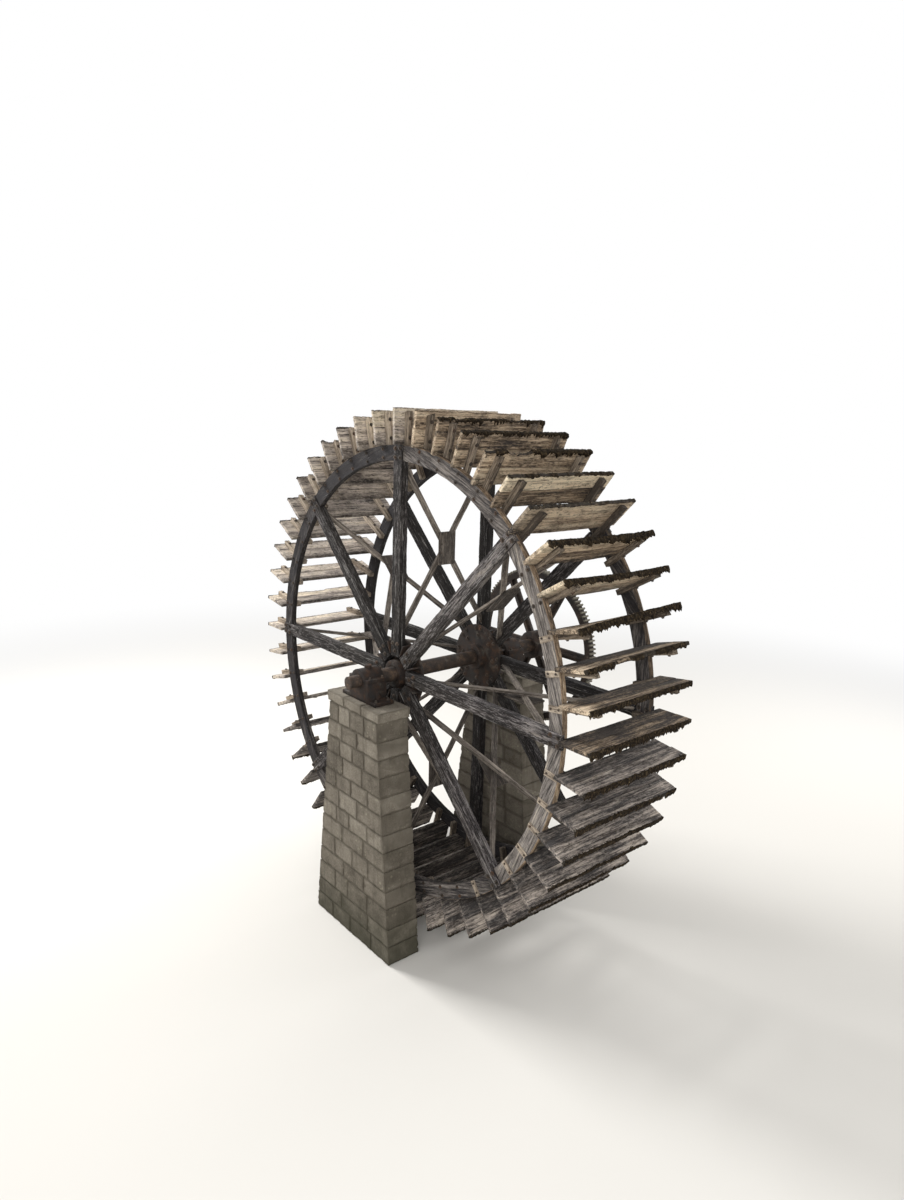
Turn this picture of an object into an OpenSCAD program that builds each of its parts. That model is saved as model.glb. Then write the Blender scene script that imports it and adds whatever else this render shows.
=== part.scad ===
// Timber water wheel on an iron shaft: two felloed rings, eight arms to each ring,
// forty-eight board paddles on wooden starts, crossed braces between each pair of arms,
// and a toothed pit gear on the mill end of the shaft.
// Millimetres. +Y runs along the shaft towards the mill, +Z is up, the floor is z = 0.

/* [Rings] */
// Radius to the outer edge of the timber rings
ring_r = 3030; // [2600:10:3600]
// Radial depth of the rings
ring_depth = 205; // [150:5:280]
// Thickness of one layer of felloes, two layers to a ring
felloe_t = 40; // [30:1:55]
// Distance between the outer faces of the two rings
ring_span = 1595; // [1300:5:2200]
// Gap at each butt joint of the back felloes
joint_gap = 2; // [1:0.5:4]

/* [Arms] */
// Width of an arm, square to its length
arm_w = 180; // [120:5:220]
// Depth of an arm along the shaft
arm_d = 110; // [90:5:150]
// How far the arms stand out in front of the ring
arm_proud = 20; // [5:1:30]
// Gap between the shoulder of an arm and the inner edge of the ring
shoulder_gap = 0.3; // [0.2:0.1:3]
// Gap between neighbouring arms where they meet the nave
arm_root_gap = 18; // [10:1:40]

/* [Paddles] */
// Width of one paddle board, two boards to a paddle
board_w = 231.5; // [160:0.5:320]
// Thickness of the paddle boards
board_t = 48; // [30:1:60]
// Gap between the inner and the outer board of a paddle
board_gap = 4; // [2:0.5:8]
// Gap between the rings and the boards
board_seat = 3; // [2:0.5:6]
// How far the boards reach past the street-side ring
overhang_near = 85; // [40:5:160]
// How far the boards reach past the mill-side ring
overhang_far = 105; // [40:5:160]
// Width of a start along the shaft
start_w = 80; // [50:5:110]
// Depth of a start behind its boards
start_d = 70; // [40:5:100]
// How far the starts stop short of the paddle tips
start_short = 30; // [10:5:80]
// How far the starts stop short of the inner edge of the ring
start_lap = 10; // [5:1:40]

/* [Braces] */
// Width of a brace
brace_w = 75; // [50:5:100]
// Thickness of a brace
brace_t = 35; // [20:1:42]
// How far the rim end of a brace stays below the ring
brace_rim_gap = 12; // [5:1:60]
// How far the hub end of a brace stays above the nave
brace_nave_gap = 20; // [5:1:60]
// Length of the joint board on a crossing, along the arms
joint_board_h = 450; // [250:10:600]
// Width of the joint board on a crossing, along the shaft
joint_board_w = 280; // [160:10:360]
// Thickness of the joint board
joint_board_t = 22; // [15:1:40]

/* [Naves] */
// Radius of the nave disc that the arms are bolted to
nave_r = 470; // [400:5:560]
// Thickness of the nave disc
nave_disc_t = 35; // [25:1:50]
// How far the nave boss reaches past its disc
nave_boss_out = 90; // [40:5:160]
// How far the nave boss stands out in front of the arms
nave_nose = 30; // [10:5:80]
// Thickness of the ribs between the arms
nave_rib_t = 22; // [14:1:30]
// Wall of the nave boss round the shaft
nave_wall = 85; // [60:5:110]

/* [Shaft] */
// Radius of the shaft
shaft_r = 100; // [92:1:120]
// Radius of the shaft in its bearings and at its ends
journal_r = 85; // [60:1:90]
// Running clearance in the bearings, on the radius
run_gap = 0.05; // [0.02:0.01:0.1]
// Clearance between the shaft and what is wedged on it, on the radius
seat_gap = 0.3; // [0.2:0.05:0.5]
// Shaft past the street-side bearing pier
stub_near = 60; // [30:5:200]
// Free end of the shaft past the pit gear
stub_far = 160; // [100:5:300]

/* [Bearings] */
// Length of a bearing along the shaft
bearing_l = 300; // [200:5:400]
// Height of the shaft's centre above the piers
bearing_h = 260; // [220:5:340]
// Width of a bearing's body
bearing_w = 430; // [360:5:520]
// Width of a bearing's foot plate
foot_w = 760; // [600:10:900]
// Thickness of a bearing's foot plate
foot_t = 50; // [35:1:70]
// Wall of a bearing round the shaft
bearing_wall = 75; // [50:5:100]
// Thickness of the lugs of the bearing cap
lug_t = 55; // [35:1:80]
// Side clearance of a bearing between the shoulders of the shaft
bearing_side = 3; // [2:0.5:8]
// Land for the foot bolts outside the sloping webs
foot_land = 120; // [100:5:170]
// Thickness of the sloping webs beside a bearing's body
web_t = 60; // [30:5:120]
// Radius of the oil cup on a bearing cap
oil_cup_r = 48; // [30:1:70]
// Height of the oil cup above the cap
oil_cup_h = 38; // [20:1:80]

/* [Piers] */
// Thickness of a pier along the shaft
pier_t = 500; // [420:10:700]
// Width of a pier at its foot
pier_foot_w = 1800; // [1400:20:2400]
// Width of a pier under its coping
pier_top_w = 1100; // [900:20:1300]
// Height of the coping stone
coping_h = 140; // [80:10:220]
// How far the coping reaches past the pier on each side
coping_out = 60; // [0:5:120]
// Gap between a pier and the ends of the paddles
pier_gap = 115; // [60:5:300]
// Height of the paddle tips above the floor at their lowest
tip_clear = 150; // [60:10:400]

/* [Pit gear] */
// Number of teeth on the pit gear
gear_teeth = 120; // [90:2:140]
// Radius to the tips of the teeth
gear_tip_r = 1190; // [1050:5:1300]
// Height of a tooth
tooth_h = 42; // [25:1:50]
// Width of the gear's face
gear_face = 110; // [80:5:160]
// Depth of the rim under the teeth
gear_rim_d = 85; // [50:5:120]
// Radius of the gear's hub
gear_hub_r = 210; // [180:5:260]
// Length of the gear's hub
gear_hub_l = 200; // [150:5:260]
// Number of spokes of the gear
spoke_count = 6; // [4:1:8]
// Width of a spoke
spoke_w = 130; // [90:5:180]
// Thickness of the gear's spokes
spoke_t = 45; // [30:1:70]
// Thickness of the rib that stands on each face of a spoke
spoke_rib_t = 32; // [20:1:60]
// Gap between the mill-side pier and the gear's hub
gear_gap = 240; // [60:10:400]

/* [Hidden] */
arm_count = 8;
paddles_per_bay = 6;
paddle_count = arm_count * paddles_per_bay;
paddle_step = 360 / paddle_count;
arm_step = 360 / arm_count;
round_fn = 180;
small_fn = 64;

SIDES = ["near", "far"];
function is_far(s) = s == "far" ? 1 : 0;

// The row of sizes along the shaft, which is centred on y = 0
shaft_l = stub_near + pier_t + pier_gap + overhang_near + ring_span + overhang_far
        + pier_gap + pier_t + gear_gap + gear_hub_l + stub_far;
near_pier_y = -shaft_l / 2 + stub_near;
near_ring_y = near_pier_y + pier_t + pier_gap + overhang_near;
wheel_y = near_ring_y + ring_span / 2;
far_pier_y = near_ring_y + ring_span + overhang_far + pier_gap;
gear_y = far_pier_y + pier_t + gear_gap + gear_hub_l / 2;

board_in_r = ring_r + board_seat;
tip_r = board_in_r + 2 * board_w + board_gap;
axle_z = tip_r + tip_clear;
pier_h = axle_z - bearing_h;
ring_in_r = ring_r - ring_depth;
start_in_r = ring_in_r + start_lap;
start_out_r = tip_r - start_short;

// Faces of the near arms and ring, measured from the middle of the wheel
ring_face = -ring_span / 2;
arm_front = ring_face - arm_proud;
arm_back = arm_front + arm_d;
arm_root_r = arm_w / 2 / tan(arm_step / 2) + arm_root_gap;
arm_shoulder_r = sqrt(pow(ring_in_r, 2) - pow(arm_w / 2, 2)) - shoulder_gap;
rib_in_r = (arm_w + nave_rib_t) / 2 / sin(arm_step / 2) + arm_root_gap;

// A brace runs from one arm near the ring to the other arm near the nave.
// Its ends are cut square on the arms, which makes them longer than the brace is wide.
brace_run = -2 * arm_back;
brace_rise = ring_in_r - brace_rim_gap - nave_r - brace_nave_gap;
brace_end = brace_cut(brace_w * 1.8, 6);
brace_rim_r = ring_in_r - brace_rim_gap - brace_end / 2;
brace_nave_r = nave_r + brace_nave_gap + brace_end / 2;
brace_mid_r = (brace_rim_r + brace_nave_r) / 2;

// Length of the cut end of a brace, which depends a little on its own slope
function brace_cut(cut, turns) =
    turns == 0 ? cut
    : brace_cut(brace_w * sqrt(1 + pow((brace_rise - cut) / brace_run, 2)), turns - 1);

NEAR_ARMS = [for (i = [1:arm_count]) str("near_arm_", i)];
FAR_ARMS = [for (i = [1:arm_count]) str("far_arm_", i)];
BAYS = [for (i = [1:arm_count]) str("paddle_boards_", i)];

// Turns what is drawn with its length along +X to an angle on the wheel,
// counted anticlockwise from the right as seen from the street side
module on_wheel(angle) {
    translate([0, wheel_y, axle_z]) rotate([0, -angle, 0]) children();
}

// Near-side pieces are drawn at negative y and mirrored for the far side
module on_side(s) {
    mirror([0, is_far(s), 0]) children();
}

// A flat outline in the plane of the wheel, thick along the shaft from y
module plate(y, t) {
    translate([0, y + t, 0]) rotate([90, 0, 0]) linear_extrude(t) children();
}

module ring_outline() {
    difference() {
        circle(r = ring_r, $fn = round_fn);
        circle(r = ring_in_r, $fn = round_fn);
    }
}

// Half lapped arm: its full depth stops at the ring, and a tongue runs over the back felloes
module arm(s, angle) {
    color("dimgray") on_wheel(angle) on_side(s) difference() {
        translate([arm_root_r, arm_front, -arm_w / 2])
            cube([ring_r - arm_root_r, arm_d, arm_w]);
        translate([arm_shoulder_r, ring_face + felloe_t, -arm_w])
            cube([ring_r, arm_d, 2 * arm_w]);
    }
}

// The front felloes run from arm to arm
module front_felloes(s) {
    color("gray") on_wheel(0) on_side(s) plate(ring_face, felloe_t) difference() {
        ring_outline();
        for (i = [0:arm_count - 1])
            rotate(i * arm_step) translate([0, -arm_w / 2]) square([2 * ring_r, arm_w]);
    }
}

// The back felloes butt halfway between the arms
module back_felloes(s) {
    color("dimgray") on_wheel(0) on_side(s) plate(ring_face + felloe_t, felloe_t) difference() {
        ring_outline();
        for (i = [0:arm_count - 1])
            rotate((i + 0.5) * arm_step) translate([0, -joint_gap / 2]) square([2 * ring_r, joint_gap]);
    }
}

// Starts stand behind the ring, against the clockwise face of their boards
module starts(s) {
    color("tan") for (i = [0:paddle_count - 1])
        on_wheel(i * paddle_step) on_side(s)
            translate([start_in_r, ring_face + 2 * felloe_t, -start_d])
                cube([start_out_r - start_in_r, start_w, start_d]);
}

module paddle_board(r) {
    translate([r, ring_face - overhang_near, 0])
        cube([board_w, overhang_near + ring_span + overhang_far, board_t]);
}

// One bay holds the paddle on its arm and those up to the next arm
module bay_boards(bay) {
    color("burlywood") for (i = [0:paddles_per_bay - 1])
        on_wheel((bay - 1) * arm_step + i * paddle_step) {
            paddle_board(board_in_r);
            paddle_board(board_in_r + board_w + board_gap);
        }
}

// Braces whose rim end is on the arms of side s
module braces(s) {
    color("lightgray") for (i = [0:arm_count - 1])
        on_wheel(i * arm_step) on_side(s)
            translate([0, 0, -brace_t * (1 - is_far(s))]) linear_extrude(brace_t)
                polygon([
                    [brace_rim_r - brace_end / 2, arm_back],
                    [brace_rim_r + brace_end / 2, arm_back],
                    [brace_nave_r + brace_end / 2, -arm_back],
                    [brace_nave_r - brace_end / 2, -arm_back]]);
}

module joint_boards() {
    color("rosybrown") for (i = [0:arm_count - 1])
        on_wheel(i * arm_step)
            translate([brace_mid_r - joint_board_h / 2, -joint_board_w / 2, -brace_t - joint_board_t])
                cube([joint_board_h, joint_board_w, joint_board_t]);
}

// Cast nave: a boss on the shaft, a disc behind the arms, and a rib between each two arms
module nave(s) {
    boss_front = arm_front - nave_nose;
    color("darkslategray") on_wheel(0) on_side(s) difference() {
        union() {
            plate(arm_back, nave_disc_t) circle(r = nave_r, $fn = round_fn);
            plate(boss_front, arm_back + nave_disc_t + nave_boss_out - boss_front)
                circle(r = shaft_r + nave_wall, $fn = small_fn);
            for (i = [0:arm_count - 1])
                rotate([0, -(i + 0.5) * arm_step, 0])
                    translate([rib_in_r, arm_front, -nave_rib_t / 2])
                        cube([nave_r * 0.96 - rib_in_r, arm_d + 1, nave_rib_t]);
        }
        plate(boss_front - 1, ring_span) circle(r = shaft_r + seat_gap, $fn = small_fn);
    }
}

module shaft() {
    half = shaft_l / 2;
    j0 = near_pier_y + (pier_t - bearing_l) / 2 - bearing_side;
    j1 = j0 + bearing_l + 2 * bearing_side;
    j2 = far_pier_y + (pier_t - bearing_l) / 2 - bearing_side;
    j3 = j2 + bearing_l + 2 * bearing_side;
    gear_end = half - stub_far;
    color("slategray") translate([0, 0, axle_z]) rotate([-90, 0, 0])
        rotate_extrude($fn = small_fn) polygon([
            [0, -half], [journal_r, -half], [journal_r, j1], [shaft_r, j1],
            [shaft_r, j2], [journal_r, j2], [journal_r, j3], [shaft_r, j3],
            [shaft_r, gear_end], [journal_r, gear_end], [journal_r, half], [0, half]]);
}

// Lower half of a split bearing, with its foot on the pier
module bearing(y) {
    color("darkslategray") translate([0, y + (pier_t - bearing_l) / 2, axle_z]) difference() {
        union() {
            translate([-foot_w / 2, 0, -bearing_h]) cube([foot_w, bearing_l, foot_t]);
            translate([-bearing_w / 2, 0, -bearing_h]) cube([bearing_w, bearing_l, bearing_h]);
            plate((bearing_l - web_t) / 2, web_t) polygon([
                [-foot_w / 2 + foot_land, -bearing_h], [foot_w / 2 - foot_land, -bearing_h],
                [bearing_w / 2, -lug_t], [-bearing_w / 2, -lug_t]]);
        }
        plate(-1, bearing_l + 2) circle(r = journal_r + run_gap, $fn = small_fn);
    }
}

// Upper half of a split bearing, with an oil cup on its crown
module bearing_cap(y) {
    crown_r = journal_r + bearing_wall;
    color("slategray") translate([0, y + (pier_t - bearing_l) / 2, axle_z]) {
        plate(0, bearing_l) difference() {
            union() {
                circle(r = crown_r, $fn = small_fn);
                translate([-bearing_w / 2, 0]) square([bearing_w, lug_t]);
            }
            circle(r = journal_r + run_gap, $fn = small_fn);
            translate([-bearing_w, -2 * bearing_w]) square(2 * bearing_w);
        }
        translate([0, bearing_l / 2, crown_r - bearing_wall / 2])
            cylinder(r = oil_cup_r, h = bearing_wall / 2 + oil_cup_h, $fn = small_fn / 2);
    }
}

// Battered masonry pier with a coping stone
module pier(y) {
    top = pier_h - coping_h;
    color("lightslategray") translate([0, y, 0]) plate(0, pier_t) union() {
        polygon([
            [-pier_foot_w / 2, 0], [pier_foot_w / 2, 0],
            [pier_top_w / 2, top], [-pier_top_w / 2, top]]);
        translate([-pier_top_w / 2 - coping_out, top])
            square([pier_top_w + 2 * coping_out, coping_h]);
    }
}

function polar(r, a) = [r * cos(a), r * sin(a)];

// Trapezoid teeth: half a pitch wide at the root, a third at the tip
module pit_gear_rim() {
    pitch = 360 / gear_teeth;
    root_r = gear_tip_r - tooth_h;
    color("saddlebrown") translate([0, gear_y, axle_z]) plate(-gear_face / 2, gear_face)
        difference() {
            polygon([for (i = [0:gear_teeth - 1]) each [
                polar(root_r, (i - 0.28) * pitch), polar(gear_tip_r, (i - 0.17) * pitch),
                polar(gear_tip_r, (i + 0.17) * pitch), polar(root_r, (i + 0.28) * pitch)]]);
            circle(r = root_r - gear_rim_d, $fn = round_fn);
        }
}

module pit_gear_spider() {
    seat_r = gear_tip_r - tooth_h - gear_rim_d - seat_gap;
    color("darkslategray") translate([0, gear_y, axle_z]) difference() {
        union() {
            plate(-gear_hub_l / 2, gear_hub_l) circle(r = gear_hub_r, $fn = small_fn);
            plate(-spoke_t / 2, spoke_t) intersection() {
                circle(r = seat_r, $fn = round_fn);
                for (i = [0:spoke_count - 1])
                    rotate(i * 360 / spoke_count) translate([0, -spoke_w / 2])
                        square([2 * seat_r, spoke_w]);
            }
            plate(-gear_face / 2, gear_face) intersection() {
                circle(r = seat_r, $fn = round_fn);
                for (i = [0:spoke_count - 1])
                    rotate(i * 360 / spoke_count) translate([0, -spoke_rib_t / 2])
                        square([2 * seat_r, spoke_rib_t]);
            }
        }
        plate(-gear_hub_l, 2 * gear_hub_l) circle(r = shaft_r + seat_gap, $fn = small_fn);
    }
}

pier(near_pier_y);  // near_pier
pier(far_pier_y);  // far_pier
bearing(near_pier_y);  // near_bearing
bearing(far_pier_y);  // far_bearing
bearing_cap(near_pier_y);  // near_bearing_cap
bearing_cap(far_pier_y);  // far_bearing_cap
shaft();
nave("near");  // near_nave
nave("far");  // far_nave
for (i = [1:arm_count])
    arm("near", (i - 1) * arm_step);
for (i = [1:arm_count])
    arm("far", (i - 1) * arm_step);
front_felloes("near");  // near_front_felloes
back_felloes("near");  // near_back_felloes
front_felloes("far");  // far_front_felloes
back_felloes("far");  // far_back_felloes
starts("near");  // near_starts
starts("far");  // far_starts
for (i = [1:arm_count])
    bay_boards(i);
braces("near");  // near_rim_braces
braces("far");  // far_rim_braces
joint_boards();  // brace_joint_boards
pit_gear_rim();
pit_gear_spider();
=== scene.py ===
"""Weathered timber water wheel on masonry piers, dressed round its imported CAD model.
All sizes are metres. Timber is shaped lying along X and is then put in its place."""

import math
import random

import bmesh
import bpy
from mathutils import Matrix, Vector, noise


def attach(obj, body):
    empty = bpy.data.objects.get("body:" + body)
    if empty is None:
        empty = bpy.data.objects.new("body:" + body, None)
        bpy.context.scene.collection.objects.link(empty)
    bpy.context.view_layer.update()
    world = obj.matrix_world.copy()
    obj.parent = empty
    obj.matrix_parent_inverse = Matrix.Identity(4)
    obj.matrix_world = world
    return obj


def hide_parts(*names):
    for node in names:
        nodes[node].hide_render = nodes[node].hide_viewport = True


noise.seed_set(48)  # without it the noise starts from the clock and no two runs are the same
WEATHER = random.Random(48)

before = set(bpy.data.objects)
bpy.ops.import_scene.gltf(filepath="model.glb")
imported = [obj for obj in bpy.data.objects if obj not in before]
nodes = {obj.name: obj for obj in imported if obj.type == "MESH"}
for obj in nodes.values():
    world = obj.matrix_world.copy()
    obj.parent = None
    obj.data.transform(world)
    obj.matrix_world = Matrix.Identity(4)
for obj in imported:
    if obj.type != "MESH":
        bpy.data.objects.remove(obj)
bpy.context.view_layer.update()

# ------ sizes shared with the part
AXLE = Vector((0, -0.28, 3.65))  # middle of the wheel, on the shaft's axis
RING_R, RING_DEPTH, FELLOE_T = 3.03, 0.205, 0.04
RING_IN_R = RING_R - RING_DEPTH
RING_FACE = -0.7975  # outer face of the near ring, from the middle of the wheel
RING_BACK = RING_FACE + 2 * FELLOE_T
ARM_W, ARM_D, ARM_PROUD = 0.18, 0.11, 0.02
ARM_ROOT_R, ARM_SHOULDER_R = 0.2353, 2.8232
ARM_FRONT, ARM_BACK = RING_FACE - ARM_PROUD, RING_FACE - ARM_PROUD + ARM_D
NAVE_DISC_T = 0.035
BOARD_W, BOARD_T, BOARD_GAP = 0.2315, 0.048, 0.004
BOARD_IN_R = RING_R + 0.003
BOARD_NEAR, BOARD_FAR = RING_FACE - 0.085, -RING_FACE + 0.105
BOARD_L = BOARD_FAR - BOARD_NEAR
START_IN_R, START_OUT_R, START_W, START_D = 2.835, 3.47, 0.08, 0.07
START_L = START_OUT_R - START_IN_R
BRACE_W, BRACE_T = 0.075, 0.035
BRACE_RIM_END, BRACE_NAVE_END = RING_IN_R - 0.012, 0.49
CROSSING_R = (BRACE_RIM_END + BRACE_NAVE_END) / 2  # where two braces cross
JOINT_BOARD_H, JOINT_BOARD_W, JOINT_BOARD_T = 0.45, 0.28, 0.022
PIERS = {"near_pier": -1.7775, "far_pier": 0.7375}  # near face of each pier
PIER_T, PIER_H, COPING_H = 0.5, 3.39, 0.14
PIER_FOOT_W, PIER_TOP_W, COPING_W = 1.8, 1.1, 1.22
BEARING_H, FOOT_T, LUG_T = 0.26, 0.05, 0.055
GEAR_RIM_OUT_R = 1.148

ARMS, PADDLES, PER_BAY = 8, 48, 6
ARM_STEP, PADDLE_STEP = 360 / ARMS, 360 / PADDLES  # degrees
SIDES = (("near", False), ("far", True))  # as the camera sees them; the far side is mirrored


# ------ placing
def on_wheel(angle, far=False):
    """Stands what lies along +X at an angle on the wheel, anticlockwise from the right
    as seen from the near side; the far side is the near side mirrored."""
    turn = Matrix.Rotation(-math.radians(angle), 4, "Y")
    side = Matrix.Diagonal((1, -1 if far else 1, 1, 1))
    return Matrix.Translation(AXLE) @ turn @ side


def along_shaft(radius, y, tangent):
    """Turns a board that lies along X so that it lies along the shaft, its +Y edge outwards."""
    return Matrix(((0, 1, 0, radius), (1, 0, 0, y), (0, 0, -1, tangent), (0, 0, 0, 1)))


def facing(point, out):
    """Stands what points along +Z at a point, and turns it towards a direction."""
    return Matrix.Translation(point) @ Vector(out).to_track_quat("Z", "Y").to_matrix().to_4x4()


def put_in_scene(name, data, place=Matrix()):
    """A new object, standing in its place."""
    made = bpy.data.objects.new(name, data)
    made.matrix_world = place
    bpy.context.scene.collection.objects.link(made)
    return made


# ------ timber and iron shapes
def ripple(*place):
    """Smooth noise between about -1 and 1, at a place given by three numbers."""
    return noise.noise(Vector(place))


def near(distance, reach):
    """How near a place is: 1 at no distance, falling to 0 at reach."""
    return max(0, 1 - distance / reach)


def squared(size, middle):
    """A squared block round its middle, which each timber and stone starts from."""
    bm = bmesh.new()
    bmesh.ops.create_cube(bm, size=1)
    bmesh.ops.scale(bm, vec=size, verts=bm.verts)
    bmesh.ops.translate(bm, vec=middle, verts=bm.verts)
    return bm


def ease(bm, edges, width, segments=2, clamp=False):
    """Takes off the sharp arrises of some edges."""
    bmesh.ops.bevel(bm, geom=edges, offset=width, segments=segments, profile=0.5,
                    affect="EDGES", clamp_overlap=clamp, material=-1)


def divide(bm, edges, cuts):
    """Cuts some edges, and the faces between them, into shorter ones."""
    bmesh.ops.subdivide_edges(bm, edges=edges, cuts=cuts, use_grid_fill=True)


def lengthways(bm, axis=0, over=0.0):
    """The edges that run along one axis and are longer than a length."""
    found = []
    for edge in bm.edges:
        run = edge.verts[0].co - edge.verts[1].co
        if abs(run[axis]) > 0.7 * run.length and run.length > over:
            found.append(edge)
    return found


def uneven(bm, amount, size, seed):
    """Moves each corner a little, as a sawn face does after years in the weather. The size is
    that of one dent."""
    away = Vector((seed * 7.31, seed * 3.17, seed * 1.73))
    for vert in bm.verts:
        vert.co += amount * noise.noise_vector(vert.co / size + away)


def grain_from_place(bm, seed, tone=0.5, moss=0.0, dark=0.0, axes=(0, 1, 2)):
    """Stores where each corner lies in its own timber, the grain's way first, and how worn
    it is: tone from dark 0 to bleached 1, on some pieces with painted sunlight and shade in it;
    moss and wetness from 0 to 1, the wetness on the arms' sides and the joint boards being
    painted shade; each a number or a function of the place."""
    grain = bm.verts.layers.float_vector.new("grain")
    wear = bm.verts.layers.float_vector.new("wear")
    away = Vector((seed * 1.37 % 9, seed * 0.71 % 7, seed * 0.43 % 5))
    for vert in bm.verts:
        vert[grain] = Vector([vert.co[axis] for axis in axes]) + away
        vert[wear] = [level(vert.co) if callable(level) else level
                      for level in (tone, moss, dark)]


def timber(length, width, depth, seed, cuts=10, arris=0.006, rough=0.002, tone=0.5,
           moss=0.0, dark=0.0):
    """A squared timber along X from x = 0, its arrises worn round and its faces uneven."""
    bm = squared((length, width, depth), (length / 2, 0, 0))
    ease(bm, bm.edges[:], arris)
    divide(bm, lengthways(bm, 0, 2 * arris), cuts)
    grain_from_place(bm, seed, tone, moss, dark)
    uneven(bm, rough, 0.11, seed)
    return bm


def trim(bm, point, outward):
    """Saws off what lies beyond a plane and closes the cut."""
    cut = bmesh.ops.bisect_plane(bm, geom=bm.verts[:] + bm.edges[:] + bm.faces[:],
                                 plane_co=point, plane_no=outward, clear_outer=True)
    edges = [e for e in cut["geom_cut"] if isinstance(e, bmesh.types.BMEdge)]
    bmesh.ops.edgeloop_fill(bm, edges=edges)


def add_to(pile, part, place=Matrix(), keep=False):
    """Puts a finished part in its place among the others of one piece."""
    shaped = part.copy() if keep else part
    bmesh.ops.transform(shaped, matrix=place, verts=shaped.verts)
    if place.determinant() < 0:
        bmesh.ops.reverse_faces(shaped, faces=shaped.faces)
    mesh = bpy.data.meshes.new("part")
    shaped.to_mesh(mesh)
    pile.from_mesh(mesh)
    bpy.data.meshes.remove(mesh)
    shaped.free()


def piece(name, pile, finishes, body="wheel", replaced=(), smooth=0.0):
    """Turns a pile of parts into one object that rides on its body. Edges blunter than
    smooth, in degrees, are shaded round."""
    mesh = bpy.data.meshes.new(name)
    pile.to_mesh(mesh)
    pile.free()
    for each in finishes if isinstance(finishes, tuple) else (finishes,):
        mesh.materials.append(each)
    if smooth:
        mesh.shade_smooth()
        mesh.set_sharp_from_angle(angle=math.radians(smooth))
    made = put_in_scene(name, mesh)
    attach(made, body)
    if replaced:
        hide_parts(*replaced)


def casting(source, edge, segments):
    """A copy of a CAD node with its sharp arrises rounded, as cast or forged iron has them."""
    bm = bmesh.new()
    bm.from_mesh(nodes[source].data)
    bmesh.ops.remove_doubles(bm, verts=bm.verts, dist=0.00005)
    bmesh.ops.dissolve_limit(bm, angle_limit=math.radians(1), verts=bm.verts, edges=bm.edges)
    sharp = [e for e in bm.edges if e.is_manifold and e.calc_face_angle() > math.radians(35)]
    ease(bm, sharp, edge, segments, clamp=True)
    return bm


def bolt(head, washer, stand):
    """A hexagon head on a round washer, both given by radius, standing towards +Z."""
    bm = bmesh.new()
    for sides, foot, top, tall, middle in ((10, washer, washer * 0.94, 0.008, 0.002),
                                           (6, head, head * 0.93, stand, 0.006 + stand / 2)):
        bmesh.ops.create_cone(bm, cap_ends=True, segments=sides, radius1=foot, radius2=top,
                              depth=tall, matrix=Matrix.Translation((0, 0, middle)))
    return bm


def bolts(spots, proto):
    """All the bolts of one piece; each spot is a place matrix."""
    pile = bmesh.new()
    for spot in spots:
        add_to(pile, proto, spot, keep=True)
    proto.free()
    return pile


# ------ finishes
def linear(colour):
    """An sRGB hex colour as linear RGBA."""
    parts = [int(colour[i:i + 2], 16) / 255 for i in (1, 3, 5)]
    return [c / 12.92 if c <= 0.04045 else ((c + 0.055) / 1.055) ** 2.4 for c in parts] + [1.0]


def outlet(source):
    """The socket where a node gives its result. A socket is its own outlet."""
    if isinstance(source, bpy.types.Node):
        return next(out for out in source.outputs if out.enabled)
    return source


def node(tree, kind, inputs=(), stops=(), **settings):
    """Adds a shader node. Its inputs are values, hex colours, sockets or other nodes, in
    their order or under their names, and stops are the places and colours of a ramp."""
    made = tree.nodes.new("ShaderNode" + kind)
    for key, value in settings.items():
        setattr(made, key, value)
    for key, value in inputs.items() if isinstance(inputs, dict) else enumerate(inputs):
        if isinstance(value, (bpy.types.Node, bpy.types.NodeSocket)):
            tree.links.new(outlet(value), made.inputs[key])
        else:
            made.inputs[key].default_value = linear(value) if isinstance(value, str) else value
    if stops:
        band = made.color_ramp.elements
        for end in (0, -1):
            band[end].position, band[end].color = stops[end][0], linear(stops[end][1])
        for place, colour in stops[1:-1]:
            band.new(place).color = linear(colour)
    return made


def finish(name, **shader):
    """A new material with its shader's plain values set."""
    made = bpy.data.materials.new(name)
    made.use_nodes = True
    tree = made.node_tree
    base = tree.nodes["Principled BSDF"]
    for key, value in shader.items():
        base.inputs[key.replace("_", " ")].default_value = value
    return made, tree, base


def coat(tree, base, colour, layers, height, strength, depth):
    """Lays layers over a colour, each with how much of it covers, gives the result to the
    shader and roughens the face to a depth."""
    for cover, over in layers:
        colour = node(tree, "Mix", {0: cover, 6: colour, 7: over}, data_type="RGBA")
    bump = node(tree, "Bump", {"Height": height, "Strength": strength, "Distance": depth})
    tree.links.new(outlet(colour), base.inputs["Base Color"])
    tree.links.new(outlet(bump), base.inputs["Normal"])


def streaks(tree, place, along, across, detail=3.0, rough=0.6, bend=0.0):
    """Noise drawn out along the grain: along and across are the real sizes of one streak."""
    drawn = node(tree, "Mapping", {"Vector": place, "Scale": (1 / along, 1 / across, 1 / across)})
    return node(tree, "TexNoise", {"Vector": drawn, "Scale": 1.0, "Detail": detail,
                                   "Roughness": rough, "Distortion": bend})


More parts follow.
